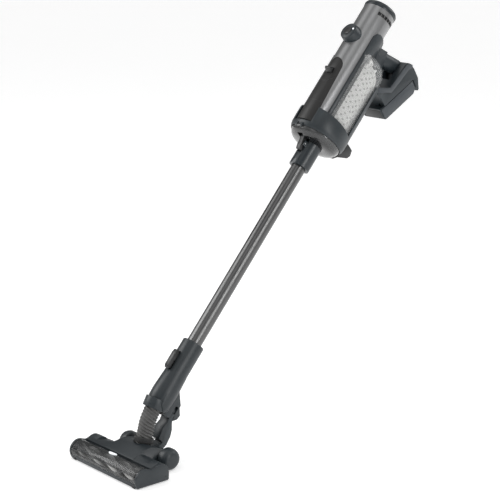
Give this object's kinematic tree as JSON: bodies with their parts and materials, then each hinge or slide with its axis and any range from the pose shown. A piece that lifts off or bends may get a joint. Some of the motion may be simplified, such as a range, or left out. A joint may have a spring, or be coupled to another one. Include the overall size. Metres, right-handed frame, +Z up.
{
  "type": "cordless stick vacuum cleaner",
  "caption": "Cordless stick vacuum cleaner with clear dust bin, rear battery grip, stowed tool, metal wand and powered floor head on a swivel neck.",
  "frame": {"origin": "centre of the hand grip, where the machine is held", "axes": "+Z up with the sole level, X across the machine, -Y towards the front of the floor head"},
  "size_m": [0.25, 0.9363, 0.985],
  "materials": {
    "slate": "dark slate satin plastic",
    "slate_light": "lighter slate trim",
    "black": "black plastic",
    "silver": "silver lacquer",
    "clear": "clear plastic",
    "smoke": "smoked plastic",
    "wand_metal": "brushed anodised tube",
    "steel": "turned steel",
    "motor_steel": "plated steel can",
    "fan_metal": "cast fan",
    "rubber": "soft black rubber",
    "hose": "grey corrugated hose",
    "fleece": "nonwoven fleece",
    "card": "bag card",
    "board": "circuit board",
    "cells": "wrapped cells",
    "lamp": "white lens",
    "brush": "soft bristle roller"
  },
  "bodies": {
    "handset": {"motor_tube": "silver", "exhaust_grille": "black", "end_cap": "slate", "tool_channel": "black", "bin_shell": "clear", "collar_ring": "slate", "chassis": "slate", "rear_spine": "slate", "grip": "slate", "battery_dock": "slate", "dock_band_left": "slate_light", "dock_band_right": "slate_light", "control_pod": "slate", "status_lamp": "lamp", "suction_motor": "motor_steel", "motor_mount": "rubber", "motor_filter": "fleece", "control_board": "board", "dust_pod": "fleece", "pod_card": "card", "door_hinge_pin": "steel"},
    "power_key": {"power_button": "black"},
    "fan": {"impeller": "fan_metal"},
    "battery": {"battery_case": "slate", "battery_base": "black", "battery_cells": "cells", "battery_cover_left": "slate_light", "battery_cover_right": "slate_light"},
    "battery_key": {"battery_release": "black"},
    "tool": {"crevice_tool": "black"},
    "tool_key": {"tool_catch": "black"},
    "rear_catch": {"door_latch": "black"},
    "door": {"door_bowl": "smoke", "coupler": "slate", "door_seal": "rubber", "wand_latch_pin": "steel"},
    "wand_lever": {"wand_latch": "black"},
    "wand": {"wand_tube": "wand_metal", "wand_conduit": "black"},
    "elbow": {"elbow_body": "slate", "elbow_cuff": "slate", "steer_pin": "steel"},
    "elbow_key": {"elbow_latch": "black"},
    "neck": {"yoke": "slate"},
    "floor_head": {"head_body": "slate", "head_cap_left": "slate", "head_cap_right": "slate", "wheel_axle": "steel", "head_lamp": "lamp", "brush_motor": "motor_steel", "drive_belt": "rubber", "hose_boot": "rubber", "flex_hose": "hose"},
    "cover": {"front_cover": "smoke"},
    "brush": {"brush_roller": "brush"},
    "pulley": {"motor_pulley": "black"},
    "wheel_left": {"rear_wheel_left": "slate"},
    "wheel_right": {"rear_wheel_right": "slate"},
    "caster_left": {"front_roller_left": "black"},
    "caster_right": {"front_roller_right": "black"}
  },
  "joints": [
    {"name": "power_press", "type": "slide", "parent": "handset", "child": "power_key", "axis": [0, 0.7547, -0.6561], "range_m": [0, 0.0015], "stiffness_N_per_m": 400, "springref_m": -0.002},
    {"name": "fan_spin", "type": "hinge", "parent": "handset", "child": "fan", "pos_m": [0, -0.09256, 0.05661], "axis": [0, 0.6561, 0.7547], "continuous": true},
    {"name": "battery_slide", "type": "slide", "parent": "handset", "child": "battery", "axis": [0, -0.866, -0.5], "range_m": [0, 0.06]},
    {"name": "battery_release_press", "type": "slide", "parent": "handset", "child": "battery_key", "axis": [0, -0.8572, -0.515], "range_m": [0, 0.002], "stiffness_N_per_m": 500, "springref_m": -0.002},
    {"name": "tool_pull", "type": "slide", "parent": "handset", "child": "tool", "axis": [0, -0.7547, 0.6561], "range_m": [0, 0.08]},
    {"name": "tool_catch_press", "type": "slide", "parent": "tool", "child": "tool_key", "axis": [0, 0.7547, -0.6561], "range_m": [0, 0.002], "stiffness_N_per_m": 400, "springref_m": -0.002},
    {"name": "door_catch_press", "type": "hinge", "parent": "handset", "child": "rear_catch", "pos_m": [0, -0.16598, -0.19094], "axis": [1, 0, 0], "range_deg": [0, 6], "stiffness_Nm_per_rad": 0.3, "springref_deg": -8.59},
    {"name": "door_open", "type": "hinge", "parent": "handset", "child": "door", "pos_m": [0, -0.29124, -0.11783], "axis": [-1, 0, 0], "range_deg": [0, 70]},
    {"name": "wand_latch_press", "type": "hinge", "parent": "door", "child": "wand_lever", "pos_m": [0, -0.28, -0.16205], "axis": [-1, 0, 0], "range_deg": [0, 8], "stiffness_Nm_per_rad": 0.2, "springref_deg": -8.59},
    {"name": "wand_pull", "type": "slide", "parent": "door", "child": "wand", "axis": [0, -0.6561, -0.7547], "range_m": [0, 0.07]},
    {"name": "elbow_pull", "type": "slide", "parent": "wand", "child": "elbow", "axis": [0, -0.6561, -0.7547], "range_m": [0, 0.07]},
    {"name": "elbow_latch_press", "type": "slide", "parent": "elbow", "child": "elbow_key", "axis": [0, 0.7547, -0.6561], "range_m": [0, 0.001], "stiffness_N_per_m": 500, "springref_m": -0.002},
    {"name": "neck_steer", "type": "hinge", "parent": "elbow", "child": "neck", "pos_m": [0, -0.67516, -0.72486], "axis": [0, 0.7547, -0.6561], "range_deg": [-40, 40], "deforming": ["flex_hose"]},
    {"name": "head_pitch", "type": "hinge", "parent": "neck", "child": "floor_head", "pos_m": [0, -0.73791, -0.80432], "axis": [1, 0, 0], "range_deg": [-38, 44], "deforming": ["flex_hose"]},
    {"name": "cover_lift", "type": "slide", "parent": "floor_head", "child": "cover", "axis": [0, 0, 1], "range_m": [0, 0.04]},
    {"name": "brush_spin", "type": "hinge", "parent": "floor_head", "child": "brush", "pos_m": [0, -0.84291, -0.81032], "axis": [1, 0, 0], "continuous": true},
    {"name": "pulley_spin", "type": "hinge", "parent": "floor_head", "child": "pulley", "pos_m": [0.106, -0.79891, -0.80882], "axis": [1, 0, 0], "continuous": true},
    {"name": "wheel_left_roll", "type": "hinge", "parent": "floor_head", "child": "wheel_left", "pos_m": [-0.075, -0.73791, -0.80432], "axis": [1, 0, 0], "continuous": true},
    {"name": "wheel_right_roll", "type": "hinge", "parent": "floor_head", "child": "wheel_right", "pos_m": [0.075, -0.73791, -0.80432], "axis": [1, 0, 0], "continuous": true},
    {"name": "caster_left_roll", "type": "hinge", "parent": "floor_head", "child": "caster_left", "pos_m": [-0.11, -0.86091, -0.82462], "axis": [1, 0, 0], "continuous": true},
    {"name": "caster_right_roll", "type": "hinge", "parent": "floor_head", "child": "caster_right", "pos_m": [0.11, -0.86091, -0.82462], "axis": [1, 0, 0], "continuous": true}
  ],
  "couplings": [
    {"joint": "pulley_spin", "follows": "brush_spin", "ratio": 1.5}
  ]
}
